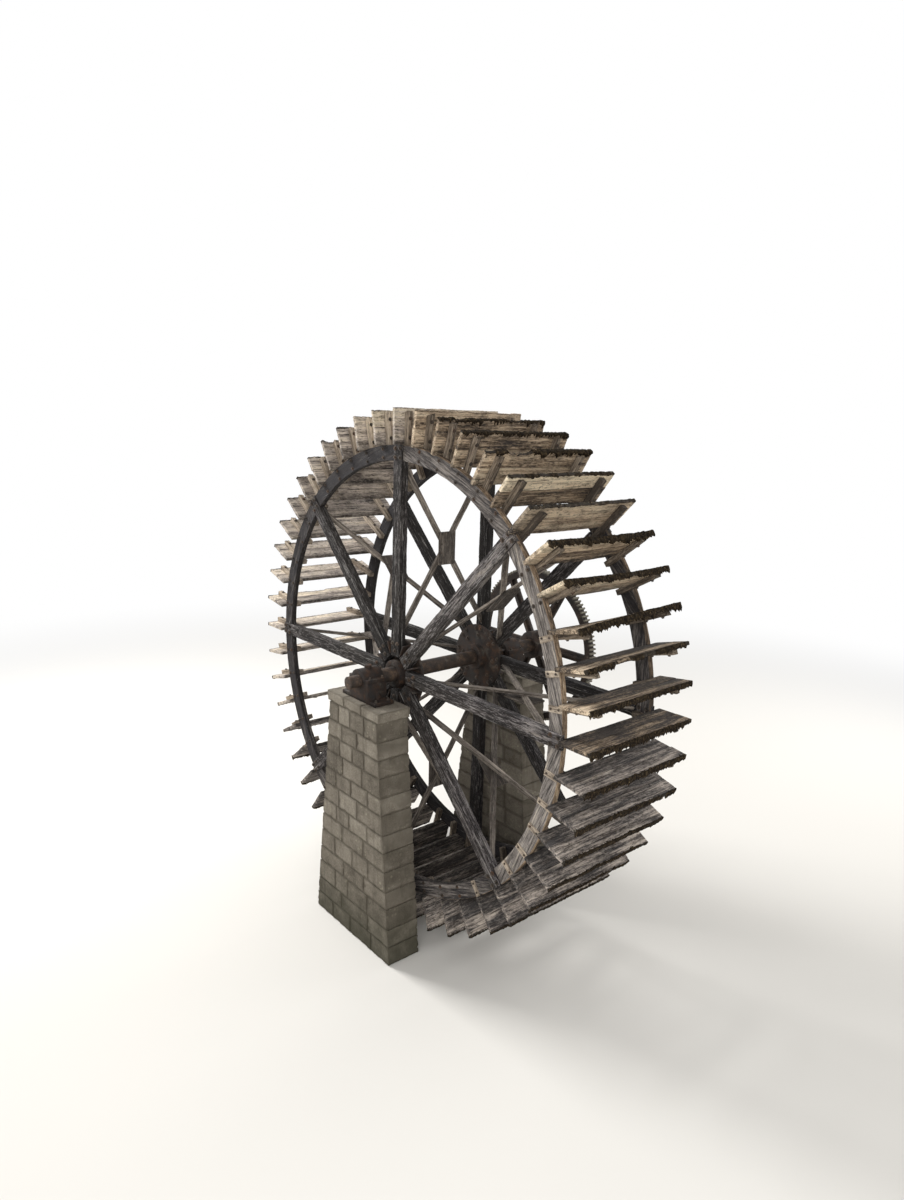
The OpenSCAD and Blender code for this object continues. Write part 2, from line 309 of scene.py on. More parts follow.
def old_timber(name, dark, middle, pale, crack=0.5, lime=0.0, blotch=0.35, specks=0.4,
               fleck=(0.06, 0.018), stain=0.45, scaly=0.1):
    """Weathered timber. Sawn oak left in spray for years: the soft wood between the rings has
    worn back, the face has greyed in streaks, and it has split along the grain. The numbers
    say how strong each mark is, and scaly how much dark timber flakes too."""
    made, tree, base = finish(name, Roughness=0.86, Specular_IOR_Level=0.25)
    place = node(tree, "Attribute", attribute_name="grain").outputs["Vector"]
    wear = node(tree, "Attribute", attribute_name="wear").outputs["Vector"]
    tone, mossy, wet = node(tree, "SeparateXYZ", (wear,)).outputs

    broad = streaks(tree, place, 1.4, 0.06, 4.0, 0.55, 0.6)      # flitches of paler sapwood
    middling = streaks(tree, place, 0.38, 0.022, 4.0, 0.7, 0.3)  # bands of growth rings
    fine = streaks(tree, place, 0.16, 0.0035, 2.0, 0.7)          # single fibres
    bands = node(tree, "Mix", {0: 0.6, 2: broad, 3: middling})
    fibre = node(tree, "Math", (fine, 0.25, -0.125), operation="MULTIPLY_ADD")
    lift = node(tree, "Math", (tone, 0.34, -0.17), operation="MULTIPLY_ADD")
    shade = node(tree, "Math", (bands, fibre), operation="ADD")
    shade = node(tree, "Math", (shade, lift), operation="ADD", use_clamp=True)
    colour = node(tree, "ValToRGB", (shade,), ((0.4, dark), (0.5, middle), (0.6, pale),
                                               (0.84, "#efdfc2")))

    # Brown stains drawn out with the grain, 30 to 50 mm wide and up to 700 mm long
    band = streaks(tree, place, 0.6, 0.04, 6.0, 0.68, 0.4)
    stained = node(tree, "MapRange", (band, 0.5, 0.39, 0.0, stain))
    layers = [(stained, "#332921")]

    # Blotches of damp, 200 to 400 mm across, added to the wear's wetness, which on some pieces is
    # painted shade
    damp = node(tree, "TexNoise", {"Vector": place, "Scale": 4.0, "Detail": 5.0, "Roughness": 0.6})
    damp = node(tree, "MapRange", (damp, 0.48, 0.68, 0.0, blotch))
    damp = node(tree, "Math", (damp, wet), operation="ADD", use_clamp=True)
    soaked_and_shaded = node(tree, "ValToRGB", (shade,), ((0.3, "#171412"), (0.7, "#48423d")))
    layers.append((damp, soaked_and_shaded))

    # Pits and flakes where the face has rotted, as long and as wide as fleck says: dark and pale
    rot = streaks(tree, place, *fleck, 4.0, 0.75)
    pits = node(tree, "MapRange", (rot, 0.54, 0.61, 0.0, specks))
    layers.append((pits, "#1d1814"))
    flakes = node(tree, "MapRange", (rot, 0.46, 0.38, 0.0, specks * 0.7))
    dry = node(tree, "Math", (tone, 1.5, scaly), operation="MULTIPLY_ADD", use_clamp=True)
    flakes = node(tree, "Math", (flakes, dry), operation="MULTIPLY")
    layers.append((flakes, pale))

    # Shakes: thin dark splits that run with the grain, some hundred millimetres long
    split = streaks(tree, place, 0.75, 0.03, 2.0, 0.5, 0.25)
    split = node(tree, "Math", (split, 0.5), operation="SUBTRACT")
    split = node(tree, "Math", (split,), operation="ABSOLUTE")
    split = node(tree, "MapRange", (split, 0.0, 0.011, crack, 0.0))
    layers.append((split, "#0f0c0a"))

    # Lime left by the spray: white runs down the faces, 5 to 20 mm wide
    if lime:
        runs = streaks(tree, place, 0.42, 0.02, 7.0, 0.78, 0.4)
        runs = node(tree, "MapRange", (runs, 0.6 - 0.06 * lime, 0.7 - 0.06 * lime, 0.0, 0.75))
        layers.append((runs, "#a9a6a2"))

    # Dried algae and moss, ragged at their limit, in clumps of 15 mm
    rag = streaks(tree, place, 0.035, 0.05, 5.0, 0.75)
    rag = node(tree, "Math", (rag, 1.5, -0.75), operation="MULTIPLY_ADD")
    growth = node(tree, "Math", (mossy, rag), operation="ADD")
    growth = node(tree, "MapRange", (growth, 0.46, 0.58, 0.0, 0.95))
    patch = node(tree, "TexNoise", {"Vector": place, "Scale": 60.0, "Detail": 4.0})
    mossed = node(tree, "ValToRGB", (patch,), ((0.35, "#14110d"), (0.55, "#2a231b"),
                                               (0.75, "#4c4534")))
    layers.append((growth, mossed))

    height = node(tree, "Mix", {0: 0.4, 2: middling, 3: fine})
    height = node(tree, "Math", (height, split), operation="SUBTRACT")
    height = node(tree, "Math", (pits, -0.6, height), operation="MULTIPLY_ADD")
    lumps = node(tree, "Math", (growth, patch), operation="MULTIPLY")
    height = node(tree, "Math", (height, lumps), operation="ADD")
    coat(tree, base, colour, layers, height, 0.7, 0.006)
    return made


def blanket_weed(name):
    """Dried blanket weed on the boards' edges: felted in clumps of 30 mm, almost black, with
    straw-coloured ends. Its threads hang, so they are drawn out across the board, 4 mm apart."""
    made, tree, base = finish(name, Roughness=1.0, Specular_IOR_Level=0.1)
    place = node(tree, "Attribute", attribute_name="grain").outputs["Vector"]
    clump = node(tree, "TexNoise", {"Vector": place, "Scale": 30.0, "Detail": 6.0,
                                    "Roughness": 0.7})
    threads = streaks(tree, place, 0.004, 0.045, 3.0, 0.7, 0.5)
    felt = node(tree, "Mix", {0: 0.45, 2: clump, 3: threads})
    colour = node(tree, "ValToRGB", (felt,), ((0.4, "#0f0c0a"), (0.5, "#261f17"),
                                              (0.58, "#4b3f2f"), (0.68, "#8d7b5b")))
    height = node(tree, "Math", (threads, 0.7, clump), operation="MULTIPLY_ADD")
    coat(tree, base, colour, (), height, 1.0, 0.012)
    return made


def rusty_iron(name, skin, rust, bright, polish=0.0, lime=0.2, teeth_from=None):
    """Cast or forged iron that has lost its paint: a dark skin, orange rust in patches 110 mm
    across with pits of 8 mm, grey where it rubs, and a bloom of lime from the spray, 300 mm
    across. Past teeth_from, a distance from the shaft's axis, it is pale: worn by the meshing
    teeth, and painted highlight where the teeth catch the light."""
    made, tree, base = finish(name, Metallic=0.35)
    place = node(tree, "TexCoord").outputs["Object"]
    patch, pits, bloom = (
        node(tree, "TexNoise", {"Vector": place, "Scale": scale, "Detail": detail,
                                "Roughness": rough})
        for scale, detail, rough in ((9.0, 8.0, 0.65), (120.0, 5.0, 0.6), (3.2, 7.0, 0.7)))
    colour = node(tree, "ValToRGB", (patch,), ((0.36, skin), (0.52, rust), (0.7, bright)))
    speck = node(tree, "ValToRGB", (pits,), ((0.4, "#6a625c"), (0.62, "#ffffff")))
    colour = node(tree, "Mix", {0: 0.7, 6: colour, 7: speck}, data_type="RGBA",
                  blend_type="MULTIPLY")
    bloom = node(tree, "MapRange", (bloom, 0.56, 0.72, 0.0, lime))
    layers = [(bloom, "#8d8579")]
    if teeth_from:
        round_shaft = node(tree, "Mapping", {"Vector": place, "Location": (0, 0, -AXLE.z),
                                             "Scale": (1, 0, 1)})
        reach = node(tree, "VectorMath", (round_shaft,), operation="LENGTH")
        worn_and_highlit = node(tree, "MapRange", (reach, teeth_from, teeth_from + 0.03, 0.0, 0.65))
        layers.append((worn_and_highlit, "#8f8a7c"))
    rough = node(tree, "MapRange", (patch, 0.3, 0.7, 0.55 - polish, 0.9 - polish))
    tree.links.new(rough.outputs[0], base.inputs["Roughness"])
    height = node(tree, "Math", (pits, patch), operation="ADD")
    coat(tree, base, colour, layers, height, 0.45, 0.004)
    return made


def limestone(name, pale, middle, stain):
    """Dressed limestone blocks: chisel-rough with grit of 18 mm, warm grey in clouds 300 mm
    across, darker where the wet has run down."""
    made, tree, base = finish(name, Roughness=0.93, Specular_IOR_Level=0.2)
    place = node(tree, "TexCoord").outputs["Object"]
    wear = node(tree, "Attribute", attribute_name="wear").outputs["Vector"]
    tone, mossy, arris = node(tree, "SeparateXYZ", (wear,)).outputs
    grit, cloud = (
        node(tree, "TexNoise", {"Vector": place, "Scale": scale, "Detail": detail,
                                "Roughness": rough})
        for scale, detail, rough in ((55.0, 8.0, 0.7), (3.5, 6.0, 0.6)))
    shade = node(tree, "Mix", {0: 0.45, 2: grit, 3: cloud})
    shade = node(tree, "Math", (shade, 0.75, -0.05), operation="MULTIPLY_ADD")
    shade = node(tree, "Math", (tone, 0.35, shade), operation="MULTIPLY_ADD", use_clamp=True)
    colour = node(tree, "ValToRGB", (shade,), ((0.35, stain), (0.52, middle), (0.72, pale)))

    # Dark runs, 140 mm wide and a metre long
    fall = node(tree, "Mapping", {"Vector": place, "Scale": (7.0, 7.0, 0.9)})
    run = node(tree, "TexNoise", {"Vector": fall, "Scale": 1.0, "Detail": 5.0, "Roughness": 0.65})
    run = node(tree, "MapRange", (run, 0.54, 0.72, 0.0, 0.55))
    # Lichen in pale rosettes 30 to 80 mm across, and dirt along the joints
    rosette = node(tree, "TexVoronoi", {"Vector": place, "Scale": 14.0, "Randomness": 1.0})
    rosette = node(tree, "MapRange", (rosette, 0.3, 0.2, 0.0, 1.0))
    rosette = node(tree, "Math", (rosette, mossy), operation="MULTIPLY")
    rosette = node(tree, "Math", (rosette, grit), operation="MULTIPLY", use_clamp=True)
    dirt = node(tree, "Math", (arris, grit), operation="MULTIPLY", use_clamp=True)
    dirt = node(tree, "MapRange", (dirt, 0.15, 0.55, 0.0, 0.7))
    # Damp climbs from the foot, and green algae with it
    from_floor = node(tree, "SeparateXYZ", (place,)).outputs[2]
    tide = node(tree, "Math", (cloud, 0.9, from_floor), operation="MULTIPLY_ADD")
    wet = node(tree, "MapRange", (tide, 1.3, 0.55, 0.0, 0.75))
    layers = ((run, "#3a352d"), (rosette, "#b3ad94"), (dirt, "#3b362d"), (wet, "#37362a"))

    height = node(tree, "Math", (grit, cloud), operation="ADD")
    coat(tree, base, colour, layers, height, 0.8, 0.008)
    return made


# Boards: straw-brown where the sun bleaches them, silver-grey on the shaded side. The greyish dark
# stop of the straw-brown boards and the cooler hue of the silver-grey ones are partly painted
# skylight.
BOARD_OAK = old_timber("weathered_oak_paddle_board", "#433c37", "#927f69", "#d1bba0",
                       crack=0.75, blotch=0.5, specks=0.65, stain=0.6)
GREY_BOARD_OAK = old_timber("silvered_oak_paddle_board", "#4a4746", "#978d85", "#cec2b5",
                            crack=0.75, specks=0.6, stain=0.6)
# Rings and arms: silvered or nearly black from the wet, with white runs of lime
RING_OAK = old_timber("silvered_oak_ring_felloe", "#2b292b", "#5f5955", "#938c86",
                      lime=0.2, blotch=0.4, specks=0.45, fleck=(0.09, 0.018), stain=0.25)
ARM_OAK = old_timber("blackened_wet_oak_arm", "#100e10", "#353133", "#8b8583",
                     crack=0.8, lime=0.6, specks=0.95, fleck=(0.1, 0.017), stain=0.3,
                     scaly=0.35)
# Small timbers: brown, dry and plainer
RIM_OAK = old_timber("brown_oak_rim_edge", "#4f443a", "#85715d", "#ac967c", blotch=0.4)
START_OAK = old_timber("sawn_oak_start", "#4a423a", "#867868", "#b5a796", blotch=0.3)
BATTEN_PINE = old_timber("weathered_pine_batten", "#4a443f", "#7c736a", "#a59b90", crack=0.4)
WEED = blanket_weed("dried_blanket_weed")
CAST_IRON = rusty_iron("blackened_cast_iron", "#1d1917", "#352820", "#59402e", lime=0.3)
# The gear's rust and lime are paler than the other castings', partly as painted highlight on its
# rim.
GEAR_IRON = rusty_iron("dark_cast_iron_gear", "#24201e", "#3b302a", "#5e4e43", lime=0.4,
                       teeth_from=GEAR_RIM_OUT_R)
SHAFT_IRON = rusty_iron("forged_iron_shaft", "#2d2723", "#4a3c32", "#75604e", 0.1, lime=0.35)
BOLT_IRON = rusty_iron("rusty_coach_bolt", "#37322e", "#544a41", "#6b4c38", 0.1)
STONE = limestone("dressed_limestone", "#989184", "#736c61", "#4c463d")
MORTAR = limestone("lime_mortar", "#7f786b", "#655e53", "#453f37")


# ------ camera
FOCAL, FRAME_H = 818.77, 1200  # focal length and picture height, both in pixels of 904 x 1200
SENSOR_H = 24  # millimetres
CAMERA_SPOT = (8.549, -7.339, 6.979)
YAW, PITCH, ROLL = (math.radians(a) for a in (-49.829, -12.2531, 1.6924))
ahead = Vector((math.sin(YAW) * math.cos(PITCH), math.cos(YAW) * math.cos(PITCH),
                math.sin(PITCH)))
level = Vector((math.cos(YAW), -math.sin(YAW), 0))
upright = level.cross(ahead)
right = level * math.cos(ROLL) + upright * math.sin(ROLL)
above = upright * math.cos(ROLL) - level * math.sin(ROLL)
lens = bpy.data.cameras.new("camera")
lens.sensor_fit = "VERTICAL"
lens.sensor_height = SENSOR_H
lens.lens = SENSOR_H * FOCAL / FRAME_H
lens.clip_end = 400  # past the floor's far edge
bpy.context.scene.camera = put_in_scene("camera", lens, Matrix.Translation(CAMERA_SPOT)
                                        @ Matrix((right, above, -ahead)).transposed().to_4x4())


# ------ paddles
# The paddles that the photo shows best differ, so these tables go by the paddle's angle.
# Chunks rotted out of the outer edge: middle, half length and depth
BITES = {75.0: ((0.34, 0.1, 0.03), (1.25, 0.14, 0.012)),
         60.0: ((0.55, 0.21, 0.05), (0.08, 0.09, 0.012)),
         15.0: ((0.62, 0.16, 0.045),), 120.0: ((0.15, 0.12, 0.03),),
         142.5: ((1.3, 0.16, 0.03),), 172.5: ((0.9, 0.2, 0.04),),
         232.5: ((1.1, 0.25, 0.05),), 300.0: ((0.7, 0.15, 0.06),)}
DEEP_BITE = 0.04  # a bite deeper than this has taken the weed with it
DROP_REACH = 0.5  # distance from a start's foot to its paddle's tip
SAG = {22.5: 0.075, 15.0: 0.035}  # how far the near end has dropped at the tip
BOW = {37.5: 0.026, 30.0: 0.03, 45.0: 0.014, 22.5: 0.012}  # how far a board has bowed
# How thick the dried weed is
WEED_ON = {105.0: 0.1, 97.5: 0.15, 90.0: 0.1, 82.5: 0.06, 75.0: 0.95, 67.5: 0.85, 60.0: 1.0,
           52.5: 0.46, 45.0: 0.16, 37.5: 1.0, 30.0: 0.7, 22.5: 1.0, 15.0: 0.5, 7.5: 0.6,
           0.0: 0.9, 352.5: 0.9}
# How light the outer and inner boards are, from the left over the top and down the right: partly
# bleaching, partly painted light, sunlight on the boards the sun strikes and shade on those that
# lie in shade
BLEACH_AND_PAINTED_LIGHT = {172.5: (0.97, 0.5), 165.0: (0.95, 0.7), 157.5: (0.77, 0.6), 150.0: (0.75, 0.8),
            142.5: (0.5, 0.53), 135.0: (0.7, 0.6), 127.5: (0.87, 0.7), 120.0: (0.72, 0.6),
            112.5: (0.72, 0.45), 105.0: (0.9, 0.7), 97.5: (1.4, 0.8), 90.0: (1.12, 0.65),
            82.5: (0.65, 0.85), 75.0: (0.48, 0.75), 67.5: (0.55, 0.65), 60.0: (0.72, 0.95),
            52.5: (1.6, 0.5), 45.0: (1.1, 0.8), 37.5: (0.95, 0.5), 30.0: (1.0, 1.0),
            22.5: (0.6, 0.35), 15.0: (0.6, 0.05), 7.5: (0.4, 0.2), 0.0: (0.3, 0.2)}
# How mossy, how dark and how pale the near ends on the right are
END_MOSS = {75.0: 0.18, 67.5: 0.15, 60.0: 0.3, 52.5: 0.05, 45.0: 0.28, 37.5: 0.05, 30.0: 0.05,
            22.5: 0.15, 15.0: 0.1, 7.5: 0.05}
END_DARK = {67.5: 0.05, 45.0: 0.6}
END_PALE = {67.5: 0.1, 37.5: 0.45, 30.0: 0.3, 15.0: 0.3, 7.5: 0.6}
PALE_END_L, MOSSY_END_L, SPLIT_END_L = 0.35, 0.42, 0.02  # how far in from the near end
TIP_STAIN_W, MOSS_W, ROT_W, WET_ROOT_W = 0.03, 0.11, 0.12, 0.1  # how far in from an edge
FRINGE_W = 0.1  # width of the band that the weed grows on


def rotted(angle, x):
    """How far the outer edge of a paddle has rotted back at x along it: in waves 330 mm
    long, teeth 60 mm apart and a fine rag, and farther where a chunk is gone."""
    wave = ripple(x / 0.33, angle * 3.7, 0)
    tooth = ripple(x / 0.06, angle * 5.3, 4)
    rag = ripple(x / 0.022, angle * 1.3, 9)
    depth = 0.009 + 0.008 * wave + 0.014 * max(0, tooth) + 0.004 * rag
    for middle, half, deep in BITES.get(angle, ()):
        away = abs(x - middle) / half
        depth += deep * max(0, 1 - away ** 4) * (1 + 0.5 * ripple(x / 0.05, 3, 1))
    return max(0.001, depth)


def overgrown(angle, x=None, spread=0.0):
    """How thick the dried weed is on a paddle, or at x along it, where it comes and goes.
    A stain spreads farther than the weed itself."""
    turned = (angle + 60) % 360
    thick = WEED_ON.get(angle, 0.8 if turned < 150 else 0.3 if turned < 275 else 0.7)
    if x is None:
        return thick
    cover = ripple(x / 0.31, angle * 2.3, 5) + 0.5 * ripple(x / 0.09, angle * 2.9, 6)
    thick *= min(1, max(0, (cover + 0.75 * thick + spread) / 0.3))
    bites = BITES.get(angle, ())
    if any(deep > DEEP_BITE for _, _, deep in bites):
        bare = max(near(abs(x - middle), half * 1.25) for middle, half, _ in bites)
        thick *= 1 - min(1, bare * 3)
    return thick


def warp(bm, angle, reach, side_step):
    """Bends a board: reach is how far its inner edge lies out from the ring."""
    sag = SAG.get(angle, 0)
    bow = BOW.get(angle, 0.006 * ripple(angle, 5, 2))
    twist = 0.006 * ripple(angle, reach * 9, 1)
    for vert in bm.verts:
        out = (reach + vert.co.y + BOARD_W / 2) / (2 * BOARD_W)
        along = vert.co.x / BOARD_L
        vert.co.z += sag * near(along, 1) ** 1.6 * out + twist * (1 - 2 * along) + side_step
        vert.co.z += bow * 4 * along * (1 - along) * (1.2 - 0.6 * out)
        vert.co.z += 0.004 * math.sin(3 * along + angle)


def board_tone(angle, outer):
    """Bleached where the sun strikes, over the top and down the left, and painted lighter there as
    sunlight; painted darker where a board lies in shade. Dark where it is wet.
    """
    usual = (0.95, 0.75) if angle < 205 else (0.38, 0.28)
    return BLEACH_AND_PAINTED_LIGHT.get(angle, usual)[0 if outer else 1] + WEATHER.uniform(-0.07, 0.07)


def paddle_board(angle, outer):
    """One board of a paddle, along X from the near end, outer edge towards +Y and
    clockwise face towards +Z. Its outer edge has rotted to a ragged line."""
    seed = angle * 2 + outer
    # bleached holds real bleaching together with painted sunlight and painted shade.
    bleached = board_tone(angle, outer)
    thick = overgrown(angle)
    old_edge = 0.0 if 80 < angle < 110 else 1.0  # the newer boards are still clean at the tip

    def tone(co):
        # Painted shade: on the paddles from the right up to the top, the outer board is darker
        # along its inner edge, as if in shade.
        fade = 0.55 * max(0, 0.35 - (co.y / BOARD_W + 0.5)) if outer and angle < 90 else 0
        if outer:
            fade += 0.75 * old_edge * bleached * near(BOARD_W / 2 - co.y, TIP_STAIN_W)
        fade -= END_PALE.get(angle, 0) * near(co.x, PALE_END_L)
        return bleached - fade + 0.4 * ripple(co.x / 0.45, co.y / 0.08, seed)

    def moss(co):
        edge = near(BOARD_W / 2 - co.y, MOSS_W) ** 1.3 if outer else 0
        near_end = near(co.x, MOSSY_END_L) * END_MOSS.get(angle, 0.22)
        stain = min(1, 0.25 + 0.25 * old_edge + 1.5 * overgrown(angle, co.x, 0.25))
        return 0.88 * edge * stain + near_end + 0.1 * thick

    def damp(co):
        root = 0.0 if outer else 0.6 * near(co.y + BOARD_W / 2, WET_ROOT_W)
        return root + END_DARK.get(angle, 0) * min(1, max(0, 1.9 - co.x / 0.2))

    shorten = WEATHER.uniform(0, 0.014)
    bm = squared((BOARD_L - shorten, BOARD_W, BOARD_T), ((BOARD_L + shorten) / 2, 0, 0))
    ease(bm, bm.edges[:], 0.005, segments=1)
    divide(bm, lengthways(bm, 1, 0.1), 5 if outer else 2)
    divide(bm, lengthways(bm, 0, 0.1), 150 if outer else 60)
    grain_from_place(bm, seed, tone, moss, damp)
    for vert in bm.verts:
        off = (BOARD_W / 2 - vert.co.y) / BOARD_W
        off = off ** 1.6 if 0 < off < 1 else off  # the rows of corners crowd to the outer edge
        vert.co.y = BOARD_W / 2 - BOARD_W * off
        near_edge = near(BOARD_W * off, ROT_W) ** 1.2
        if outer:
            vert.co.y -= rotted(angle, vert.co.x) * near_edge
            vert.co.z *= 1 - 0.3 * near_edge * abs(ripple(vert.co.x / 0.08, angle, 2))
        else:
            vert.co.y -= 0.004 * near_edge * ripple(vert.co.x / 0.1, angle, 7)
        split_end = near(min(vert.co.x, BOARD_L - vert.co.x), SPLIT_END_L)
        vert.co.x += split_end * 0.012 * ripple(vert.co.y / 0.03, seed, 5)
    uneven(bm, 0.0022, 0.09, seed)
    return bm


def weed_fringe(angle):
    """The dried weed that has grown over a paddle's outer edge and hangs from it in ragged
    teeth, straight down where the paddle lies flat. It is closed, and its inner border dips
    into the board."""
    turned = math.radians(angle)
    bm = squared((BOARD_L - 0.02, FRINGE_W, BOARD_T), (BOARD_L / 2, -FRINGE_W / 2, 0))
    for axis, cuts in ((1, 2), (2, 1), (0, 260)):
        divide(bm, lengthways(bm, axis), cuts)
    grain_from_place(bm, angle)
    for vert in bm.verts:
        x, back, face = vert.co.x, -vert.co.y / FRINGE_W, vert.co.z / (BOARD_T / 2)
        side = 1 if face > 0 else -1
        here = overgrown(angle, x + 0.07 * ripple(x / 0.05, face * 2, angle))
        ridge = 1 - min(1, 3 * abs(ripple(x / 0.03, angle * 2.1, side * 3)))
        shreds = 0.5 + 0.9 * ripple(x / 0.016, angle * 1.1, side * 7)
        long_tooth = max(0, ripple(x / 0.11, angle * 1.7, side * 5) + 0.1)
        teeth = (0.01 + (0.05 * ridge ** 2 + 0.08 * long_tooth) * (0.4 + shreds)) * here
        hang = teeth * (0.45 + 0.75 * max(0, math.sin(turned)) if side > 0 else 0.5)
        lump = ripple(x / 0.035, back * 3 + side, angle)
        proud = (0.001 + here * (0.005 + 0.009 * max(0, lump))) * (1 - back ** 3)
        drop = teeth * 0.7 * max(0, side * math.cos(turned)) * (0.2, 1, 0.5, 0)[round(back * 3)]
        swell = BOARD_T / 2 + proud - 0.008 * back ** 3
        edge = BOARD_W / 2 - rotted(angle, x) - 0.006 * (1 - min(1, here * 4))
        vert.co.y = edge + (0.001 + 0.008 * here * (0.5 + lump)) * (1 - back) \
            - (hang + 0.006) * back
        narrow = 0.72 if back < 0.01 and abs(face) > 0.9 else 1
        vert.co.z = swell * face * narrow + side * drop * abs(face)
    for vert in bm.verts:
        vert.co += 0.0022 * noise.noise_vector(vert.co / 0.016 + Vector((angle, 0, 3)))
    return bm


for bay in range(ARMS):
    boards, fringes = bmesh.new(), bmesh.new()
    for step in range(PER_BAY):
        angle = (bay * PER_BAY + step) * PADDLE_STEP
        for outer in (False, True):
            reach = (BOARD_W + BOARD_GAP) if outer else 0
            place = on_wheel(angle) @ along_shaft(BOARD_IN_R + reach + BOARD_W / 2, BOARD_NEAR,
                                                  BOARD_T / 2)
            slip = WEATHER.uniform(-0.003, 0.003)
            board = paddle_board(angle, outer)
            warp(board, angle, reach, slip)
            add_to(boards, board, place)
            if outer:
                fringe = weed_fringe(angle)
                warp(fringe, angle, reach, slip)
                add_to(fringes, fringe, place)
    silvered = bay > 1
    piece(f"paddle_boards_bay_{bay + 1}", boards, GREY_BOARD_OAK if silvered else BOARD_OAK,
          replaced=[f"paddle_boards_{bay + 1}"])
    piece(f"weed_fringe_bay_{bay + 1}", fringes, WEED)


# ------ starts
def start_place(angle, far):
    """Where a start stands: against the ring's inner face, behind its boards. It leans with
    a paddle that has dropped."""
    lean = 0 if far else SAG.get(angle, 0) / DROP_REACH
    pivot = Matrix.Translation((RING_R - 0.05, 0, -START_D / 2))
    place = on_wheel(angle, far) @ pivot @ Matrix.Rotation(lean, 4, "Y") @ pivot.inverted()
    return place @ Matrix.Translation((START_IN_R, RING_BACK + START_W / 2, -START_D / 2))


for side, far in SIDES:
    starts = bmesh.new()
    for index in range(PADDLES):
        angle = index * PADDLE_STEP
        # Painted light: the starts on the left are painted lighter as if sunlit, and the two at 45
        # and 52.5 degrees darker as if shaded.
        sunlit = 0.3 if 97 < angle < 205 else 0
        shaded = 0.35 if angle in (45, 52.5) else 0
        # The far starts are painted 0.12 darker: painted shade on the far side of the wheel.
        start = timber(START_L, START_W, START_D, 100 + index + 50 * far, cuts=9, rough=0.003,
                       tone=WEATHER.uniform(0.35, 0.6) + sunlit - 0.12 * far - shaded,
                       moss=lambda co: 0.5 * max(0, (co.x - 0.5) / 0.13),
                       dark=lambda co: 0.5 * near(co.x, 0.22))
        trim(start, (START_L - WEATHER.uniform(0.012, 0.03), 0, 0),
             (1, WEATHER.uniform(-0.2, 0.2), WEATHER.uniform(0, 0.5)))
        add_to(starts, start, start_place(angle, far))
    piece(f"{side}_starts_worn", starts, START_OAK, replaced=[f"{side}_starts"])


# ------ rings
def felloe(front, seed, tone):
    """A curved felloe centred on +X. The front ones end at the arms, the back ones butt."""
    bm = bmesh.new()
    bmesh.ops.create_grid(bm, x_segments=1, y_segments=1, size=0.5)
    bmesh.ops.scale(bm, vec=(RING_DEPTH, FELLOE_T, 1), verts=bm.verts)
    bmesh.ops.bevel(bm, geom=bm.verts[:], offset=0.005, segments=1, profile=0.5,
                    affect="VERTICES", material=-1)
    middle_y = RING_FACE + FELLOE_T * (0.5 if front else 1.5)
    bmesh.ops.translate(bm, vec=(RING_IN_R + RING_DEPTH / 2, middle_y, 0), verts=bm.verts)
    half = math.radians(ARM_STEP / 2 + 0.3)
    bmesh.ops.rotate(bm, cent=(0, 0, 0), matrix=Matrix.Rotation(-half, 3, "Y"), verts=bm.verts)
    bmesh.ops.spin(bm, geom=bm.verts[:] + bm.edges[:] + bm.faces[:], cent=(0, 0, 0),
                   axis=(0, 1, 0), angle=2 * half, steps=46, use_duplicate=False)
    for way in (-1, 1):
        arm_angle = math.radians(ARM_STEP / 2) * way
        outward = Vector((-math.sin(arm_angle), 0, math.cos(arm_angle))) * way
        trim(bm, outward * -(ARM_W / 2 + 0.0015 if front else 0.001), outward)
    divide(bm, [e for e in bm.edges
                if abs(e.verts[0].co.xz.length - e.verts[1].co.xz.length) > 0.15], 2)
    bmesh.ops.recalc_face_normals(bm, faces=bm.faces)
    for face in bm.faces:
        rim = face.calc_center_median().xz.length > RING_R - 0.004
        face.material_index = 1 if rim else 0

    def wet(co):
        inner_face = 0.6 if co.xz.length < RING_IN_R + 0.004 else 0
        return 0.35 * near(abs(abs(co.z) - 1.05), 0.12) + inner_face

    grain_from_place(bm, seed, lambda co: tone + 0.16 * ripple(co.z / 0.4, co.x / 0.15, seed),
                     0.2, wet, axes=(2, 0, 1))
    for vert in bm.verts:
        radius = vert.co.xz.length
        at_edge = near(min(RING_R - radius, radius - RING_IN_R), 0.02)
        dent = 0.004 * ripple(vert.co.z / 0.13, radius * 3, seed)
        vert.co.x -= at_edge * abs(dent) * (1 if radius > 2.93 else -1)
        vert.co.y += 0.0022 * ripple(vert.co.z / 0.2, radius / 0.1, seed + 5)
    return bm


def ring_tone(angle, far):
    """Bleached where the sun reaches, near black on the left, as in the photo."""
    sunlit = angle < 35 or angle > 330
    # The far ring is painted 0.3 darker: painted shade on the far side of the wheel.
    return (0.62 if sunlit else 0.45 if angle < 80 else 0.05 if angle < 215 else 0.35) - 0.3 * far


for side, far in SIDES:
    for layer in ("front", "back"):
        ring = bmesh.new()
        for index in range(ARMS):
            angle = (index + (0.5 if layer == "front" else 0)) * ARM_STEP
            tone = ring_tone(angle, far) + WEATHER.uniform(-0.06, 0.06)
            part = felloe(layer == "front", 200 + index * 3 + 40 * far, tone)
            add_to(ring, part, on_wheel(angle, far))
        piece(f"{side}_{layer}_felloes_worn", ring, (RING_OAK, RIM_OAK),
              replaced=[f"{side}_{layer}_felloes"])


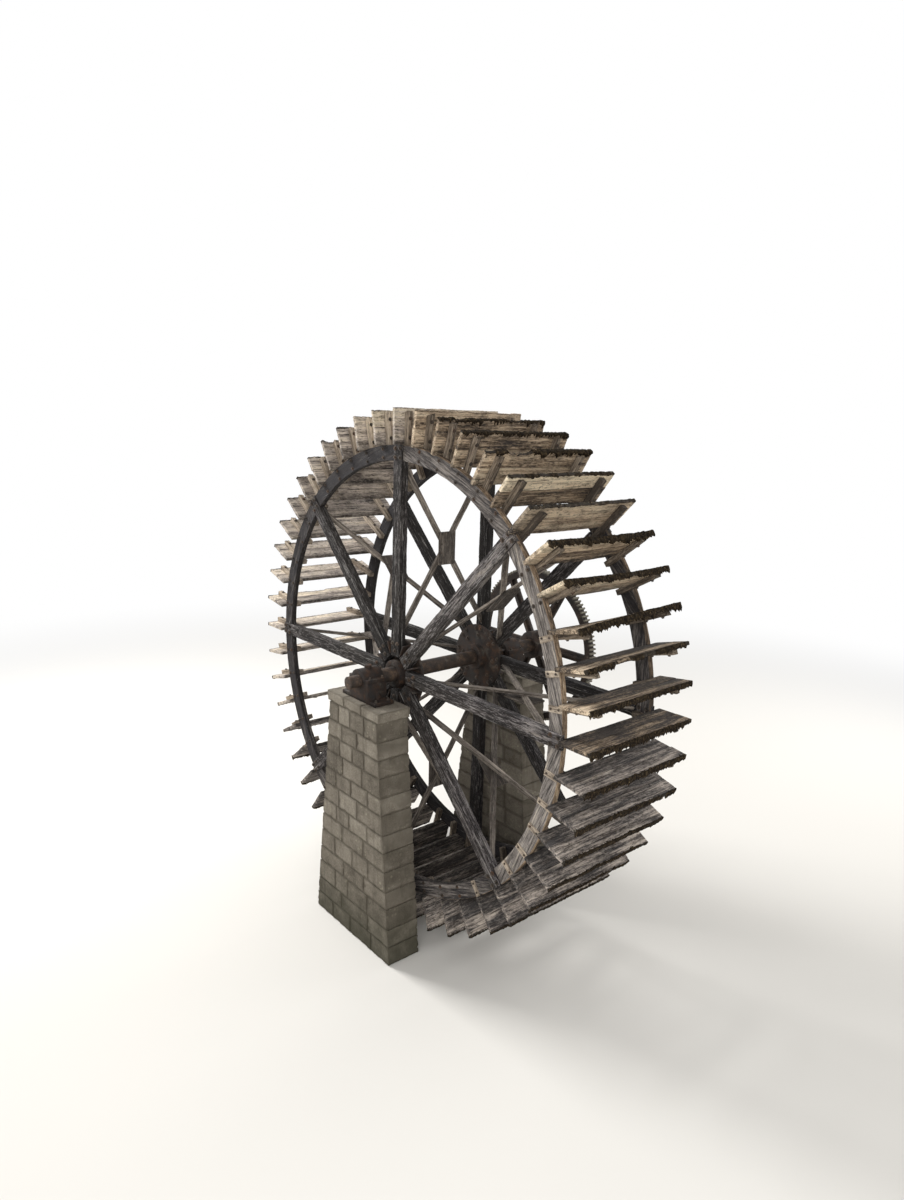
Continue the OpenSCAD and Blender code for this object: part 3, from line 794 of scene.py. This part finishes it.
# Short cleats that hold the starts' bolts on the lower right of the near ring
CLEAT_L, CLEAT_W, CLEAT_T = 0.2, 0.012, 0.074
cleats = bmesh.new()
for step in range(11):
    angle = 22.5 - step * PADDLE_STEP
    if angle % ARM_STEP:
        cleat = timber(CLEAT_L, CLEAT_W, CLEAT_T, 500 + step, cuts=8, arris=0.002, rough=0.0022,
                       tone=0.7, dark=lambda co: 0.5 * max(0, ripple(*co / 0.05)))
        add_to(cleats, cleat, on_wheel(angle) @ Matrix.Translation(
            (2.832, RING_FACE - 0.0055, -START_D / 2)))
piece("ring_cleats", cleats, START_OAK)


# ------ arms
ARM_TONE = (0.45, 0.65, 0.25, 0.2, 0.35, 0.45, 0.4, 0.5)  # anticlockwise from the right


def arm(seed, tone):
    """An arm along X from the nave: full depth to its shoulder, then a tongue on the ring."""
    bm = squared((ARM_SHOULDER_R - ARM_ROOT_R, ARM_D, ARM_W),
                 ((ARM_SHOULDER_R + ARM_ROOT_R) / 2, (ARM_FRONT + ARM_BACK) / 2, 0))
    lap = RING_FACE + FELLOE_T
    bmesh.ops.bisect_plane(bm, geom=bm.verts[:] + bm.edges[:] + bm.faces[:],
                           plane_co=(0, lap, 0), plane_no=(0, 1, 0))
    tongue = [f for f in bm.faces if f.normal.x > 0.9 and f.calc_center_median().y < lap]
    drawn = bmesh.ops.extrude_face_region(bm, geom=tongue)
    bmesh.ops.delete(bm, geom=tongue, context="FACES_ONLY")
    verts = [v for v in drawn["geom"] if isinstance(v, bmesh.types.BMVert)]
    bmesh.ops.translate(bm, vec=(RING_R - ARM_SHOULDER_R, 0, 0), verts=verts)
    bmesh.ops.recalc_face_normals(bm, faces=bm.faces)
    flat = [e for e in bm.edges if e.is_manifold and e.calc_face_angle() < 0.1]
    bmesh.ops.dissolve_edges(bm, edges=flat, use_verts=True)
    ease(bm, [e for e in bm.edges if e.calc_face_angle() > 0.5], 0.009)
    divide(bm, lengthways(bm, 0, 1.0), 84)

    def worn(co):
        return tone - 0.4 * near(co.x, 2) + 0.3 * ripple(co.x / 0.35, co.z / 0.05, seed)

    def wet(co):
        # Darker towards the nave. The second term is painted shade: the clockwise side face is
        # darkened as if it lay in shade.
        return 0.65 * near(co.x - 0.3, 1.5) + (0.55 if co.z < 0.014 - ARM_W / 2 else 0)

    grain_from_place(bm, seed, worn, dark=wet)
    uneven(bm, 0.004, 0.16, seed)
    uneven(bm, 0.0035, 0.035, seed + 3)
    return bm


for side, far in SIDES:
    for index, tone in enumerate(ARM_TONE):
        timber_arm = bmesh.new()
        # The far arms are painted 0.35 darker: painted shade on the far side of the wheel.
        add_to(timber_arm, arm(300 + index + 20 * far, tone - 0.35 * far),
               on_wheel(index * ARM_STEP, far))
        piece(f"{side}_arm_{index + 1}_worn", timber_arm, ARM_OAK,
              replaced=[f"{side}_arm_{index + 1}"])


# ------ braces
def brace_end():
    """Length of a brace's end cut square on the arm, which depends on the brace's slope."""
    cut = BRACE_W * 1.8
    for _ in range(6):
        rise = BRACE_RIM_END - BRACE_NAVE_END - cut
        cut = BRACE_W * math.hypot(1, rise / (2 * -ARM_BACK))
    return cut


def brace(seed, behind):
    """A batten from one arm near the ring to the other near the nave, its ends cut square."""
    half = brace_end() / 2
    rim = Vector((BRACE_RIM_END - half, ARM_BACK, 0))
    nave = Vector((BRACE_NAVE_END + half, -ARM_BACK, 0))
    run = nave - rim
    turn = Matrix.Rotation(math.atan2(run.y, run.x), 4, "Z")
    over = 0.12  # sawn off at each end
    bm = timber(run.length + 2 * over, BRACE_W, BRACE_T - 0.001, seed, cuts=36, arris=0.003,
                rough=0.003, tone=WEATHER.uniform(0.3, 0.65),
                dark=lambda co: 0.5 * max(0, (co.x - 1.5) / 0.9))
    middle = BRACE_T / 2 if behind else -BRACE_T / 2
    bmesh.ops.transform(bm, matrix=Matrix.Translation(rim + Vector((0, 0, middle))) @ turn
                        @ Matrix.Translation((-over, 0, 0)), verts=bm.verts)
    trim(bm, (0, ARM_BACK + 0.001, 0), (0, -1, 0))
    trim(bm, (0, -ARM_BACK - 0.001, 0), (0, 1, 0))
    return bm


for side, far in SIDES:
    battens = bmesh.new()
    for index in range(ARMS):
        add_to(battens, brace(400 + index + 10 * far, far), on_wheel(index * ARM_STEP, far))
    piece(f"{side}_rim_braces_worn", battens, BATTEN_PINE,
          replaced=[f"{side}_rim_braces"])

# A board over each crossing, with clout nails in it and two at each batten's end
joint_boards, nails = bmesh.new(), []
for index in range(ARMS):
    seat = on_wheel(index * ARM_STEP)
    # Painted shade: the joint boards are painted 0.35 darker in tone, and the one on the second
    # arm darker still, as if in shade.
    cover = timber(JOINT_BOARD_H, JOINT_BOARD_W, JOINT_BOARD_T, 450 + index, cuts=12,
                   arris=0.002, rough=0.0025, tone=WEATHER.uniform(0.4, 0.7) - 0.35,
                   dark=0.5 if index == 1 else 0.0)
    add_to(joint_boards, cover, seat @ Matrix.Translation(
        (CROSSING_R - JOINT_BOARD_H / 2, 0, -BRACE_T - JOINT_BOARD_T / 2)))
    spots = [(CROSSING_R + along, across, -BRACE_T - JOINT_BOARD_T)
             for along in (-0.19, -0.06, 0.06, 0.19) for across in (-0.1, 0.1)]
    spots += [(radius + step, way * (-ARM_BACK - 0.03), -BRACE_T) for way in (-1, 1)
              for radius in (BRACE_RIM_END - 0.05, BRACE_NAVE_END + 0.05)
              for step in (-0.012, 0.012)]
    nails += [seat @ facing(spot, (0, 0, -1)) for spot in spots]
piece("brace_joint_boards_worn", joint_boards, BATTEN_PINE,
      replaced=["brace_joint_boards"])
piece("batten_nails", bolts(nails, bolt(0.006, 0.009, 0.003)), BOLT_IRON)


# ------ iron castings
def iron_piece(source, edge, finish, body="wheel", segments=2):
    """A CAD node as a casting, with its arrises rounded by edge."""
    piece(f"{source}_cast", casting(source, edge, segments), finish, body,
          replaced=[source], smooth=32)


for side, _ in SIDES:
    iron_piece(f"{side}_nave", 0.006, CAST_IRON)
    iron_piece(f"{side}_bearing", 0.007, CAST_IRON, "supports")
    iron_piece(f"{side}_bearing_cap", 0.007, CAST_IRON, "supports")
iron_piece("shaft", 0.005, SHAFT_IRON)
iron_piece("pit_gear_rim", 0.003, GEAR_IRON, segments=1)
iron_piece("pit_gear_spider", 0.007, GEAR_IRON)


# ------ bolts
RING_BOLTS_R = (2.87, 2.985)  # two rows through the ring
BOARD_BOLTS_R = (3.12, 3.36)  # one through each board
# Bolts through an arm: radius, distance from the arm's middle, and the face they come out of
ARM_BOLTS = [(radius, tangent, RING_BACK) for radius in RING_BOLTS_R for tangent in (-0.05, 0.05)]
ARM_BOLTS += [(radius, tangent, ARM_BACK + NAVE_DISC_T)
              for radius, tangent in ((0.32, 0), (0.42, -0.05), (0.42, 0.05))]
LUG_BOLT_X, FOOT_BOLT_X, BEARING_BOLT_Y = 0.189, 0.325, 0.095

for side, far in SIDES:
    ring_bolts, arm_bolts, held = [], [], []
    for index in range(PADDLES):
        place = start_place(index * PADDLE_STEP, far)
        for radius in RING_BOLTS_R:
            ring_bolts.append(place @ facing(
                (radius - START_IN_R, -START_W / 2 - 2 * FELLOE_T, 0), (0, -1, 0)))
        for radius in BOARD_BOLTS_R:
            ring_bolts.append(place @ facing((radius - START_IN_R, 0, -START_D / 2), (0, 0, -1)))
    for index in range(ARMS):
        place = on_wheel(index * ARM_STEP, far)
        for radius, tangent, back in ARM_BOLTS:
            arm_bolts.append(place @ facing((radius, ARM_FRONT, tangent), (0, -1, 0)))
            arm_bolts.append(place @ facing((radius, back, tangent), (0, 1, 0)))
    pier_y = PIERS[f"{side}_pier"] + PIER_T / 2
    for x in (-1, 1):
        for y in (pier_y - BEARING_BOLT_Y, pier_y + BEARING_BOLT_Y):
            held.append(facing((x * LUG_BOLT_X, y, AXLE.z + LUG_T), (0, 0, 1)))
            held.append(facing((x * FOOT_BOLT_X, y, AXLE.z - BEARING_H + FOOT_T), (0, 0, 1)))
    for name, spots, size, body in (
            ("start", ring_bolts, (0.015, 0.026, 0.014), "wheel"),
            ("arm", arm_bolts, (0.018, 0.032, 0.018), "wheel"),
            ("bearing", held, (0.016, 0.0235, 0.024), "supports")):
        piece(f"{side}_{name}_bolts", bolts(spots, bolt(*size)), BOLT_IRON, body)


# ------ piers
JOINT = 0.006  # half the width of a mortar joint
ARRIS_W = 0.03  # how far in from its arris a stone is chipped and dirty
BED_IN = 0.03  # how much smaller the mortar bed is than its pier


def block(low, high, seed, tone):
    """One dressed stone between two corners, chisel-rough, its arrises worn and chipped."""
    middle = (low + high) / 2
    bm = squared(high - low, middle)
    ease(bm, bm.edges[:], 0.011)
    divide(bm, [e for e in bm.edges if e.calc_length() > 0.1], 6)

    def arris(co):
        gaps = sorted(min(co[i] - low[i], high[i] - co[i]) for i in range(3))
        return near(gaps[1], ARRIS_W)

    def lichen(co):
        return max(0, noise.noise(co / 0.3 + Vector((seed, 0, 0))))

    grain_from_place(bm, seed, tone, lichen, arris)
    for vert in bm.verts:
        chip = max(0, noise.noise(vert.co / 0.055 + Vector((0, seed, 0))) - 0.12)
        vert.co += (middle - vert.co).normalized() * arris(vert.co) * chip * 0.045
    uneven(bm, 0.006, 0.07, seed)
    uneven(bm, 0.0025, 0.025, seed + 1)
    return bm


def pier_half(z):
    """Half the width of a pier at a height: it is battered on both ends."""
    share = min(1, z / (PIER_H - COPING_H))
    return (PIER_FOOT_W + (PIER_TOP_W - PIER_FOOT_W) * share) / 2


def courses():
    """Floor of each course and its height, from the foot up to the coping."""
    mason, top = random.Random(7), PIER_H - COPING_H
    heights = [mason.uniform(0.21, 0.29) for _ in range(13)]
    scale = top / sum(heights)
    floor = 0
    for height in heights:
        yield floor, height * scale
        floor += height * scale


def masonry(y, seed):
    """The stones of one pier and its coping, in courses of three and four by turns."""
    mason = random.Random(seed)
    stones = bmesh.new()
    batter = math.atan2((PIER_FOOT_W - PIER_TOP_W) / 2, PIER_H - COPING_H)
    for row, (floor, height) in enumerate(courses()):
        half = pier_half(floor)
        count = 3 if row % 2 else 4
        shares = [mason.uniform(0.8, 1.25) for _ in range(count)]
        left, width = -half, 2 * half
        for number, share in enumerate(shares):
            right_end = left + width * share / sum(shares)
            low = Vector((left + JOINT, y + 0.004, floor + (JOINT if row else 0.004)))
            high = Vector((right_end - JOINT, y + PIER_T - 0.004, floor + height - JOINT))
            stone = block(low, high, seed + row * 9 + number, mason.uniform(0.32, 0.68))
            for way, outermost in ((-1, 0), (1, count - 1)):
                if number == outermost:
                    trim(stone, (way * PIER_FOOT_W / 2 - way * 0.004, 0, 0),
                         (way * math.cos(batter), 0, math.sin(batter)))
            add_to(stones, stone)
            left = right_end
    top, third = PIER_H - COPING_H, COPING_W / 3
    for number in range(3):
        low = Vector((-COPING_W / 2 + number * third + 0.004, y + 0.003, top + 0.003))
        high = Vector((low.x + third - 0.008, y + PIER_T - 0.003, PIER_H - 0.002))
        add_to(stones, block(low, high, seed + number, mason.uniform(0.55, 0.8)))
    return stones


for (side, near_face), seed in zip(PIERS.items(), (11, 29)):
    piece(f"{side}_stones", masonry(near_face, seed), STONE, "supports",
          replaced=[side])
    bed = squared((PIER_FOOT_W - BED_IN, PIER_T - BED_IN, PIER_H - BED_IN),
                  (0, near_face + PIER_T / 2, (PIER_H - BED_IN) / 2 + 0.005))
    for corner in bed.verts:
        if corner.co.z > 1:
            corner.co.x *= (PIER_TOP_W - 0.05) / (PIER_FOOT_W - BED_IN)
    grain_from_place(bed, 5, 0.4)
    piece(f"{side}_mortar", bed, MORTAR, "supports")


# ------ studio
FLOOR_R = 120
FADE_FROM, FADE_TO = 7.0, 22.0  # where the floor turns to the white of the backdrop
LIT = Vector((0, 0, 3.5))  # what the lamps look at


def matt_floor(name):
    """Pale matt paint that takes the shadow and fades to the white backdrop far out."""
    made, tree, base = finish(name, Base_Color=linear("#dddad4"), Roughness=0.95,
                              Specular_IOR_Level=0.1)
    place = node(tree, "TexCoord").outputs["Object"]
    away = node(tree, "VectorMath", (place,), operation="LENGTH")
    fade = node(tree, "MapRange", (away, FADE_FROM, FADE_TO, 0.0, 1.0),
                interpolation_type="SMOOTHSTEP")
    seen = node(tree, "LightPath").outputs["Is Camera Ray"]
    fade = node(tree, "Math", (fade, seen), operation="MULTIPLY")
    glow = node(tree, "Emission", ("#ffffff", 1.0))
    both = node(tree, "MixShader", (fade, base, glow))
    tree.links.new(both.outputs[0], tree.nodes["Material Output"].inputs["Surface"])
    return made


ground = bmesh.new()
bmesh.ops.create_circle(ground, cap_ends=True, segments=64, radius=FLOOR_R)
floor_mesh = bpy.data.meshes.new("studio_floor")
ground.to_mesh(floor_mesh)
ground.free()
floor_mesh.materials.append(matt_floor("pale_floor_paint"))
put_in_scene("studio_floor", floor_mesh)

world = bpy.data.worlds.new("studio")
bpy.context.scene.world = world
world.use_nodes = True
sky = world.node_tree
seen = node(sky, "LightPath").outputs
plain = node(sky, "Math", (seen["Is Camera Ray"], seen["Is Glossy Ray"]), operation="MAXIMUM")
plain = node(sky, "Math", (plain, seen["Is Transmission Ray"]), operation="MAXIMUM")
soft, white = (node(sky, "Background", ("#ffffff", strength)) for strength in (0.62, 1.0))
both = node(sky, "MixShader", (plain, soft, white))
sky.links.new(both.outputs[0], sky.nodes["World Output"].inputs["Surface"])


def soft_lamp(name, spot, power, size):
    """A square lamp that looks at the wheel."""
    lamp = bpy.data.lights.new(name, "AREA")
    lamp.energy, lamp.size = power, size
    put_in_scene(name, lamp, facing(spot, Vector(spot) - LIT))


soft_lamp("key_lamp", (-12, -5, 13), 2900, 5)
soft_lamp("fill_lamp", (12, -12, 8), 1100, 9)
soft_lamp("back_lamp", (3, 14, 9), 900, 9)
bpy.context.scene.view_settings.view_transform = "Standard"
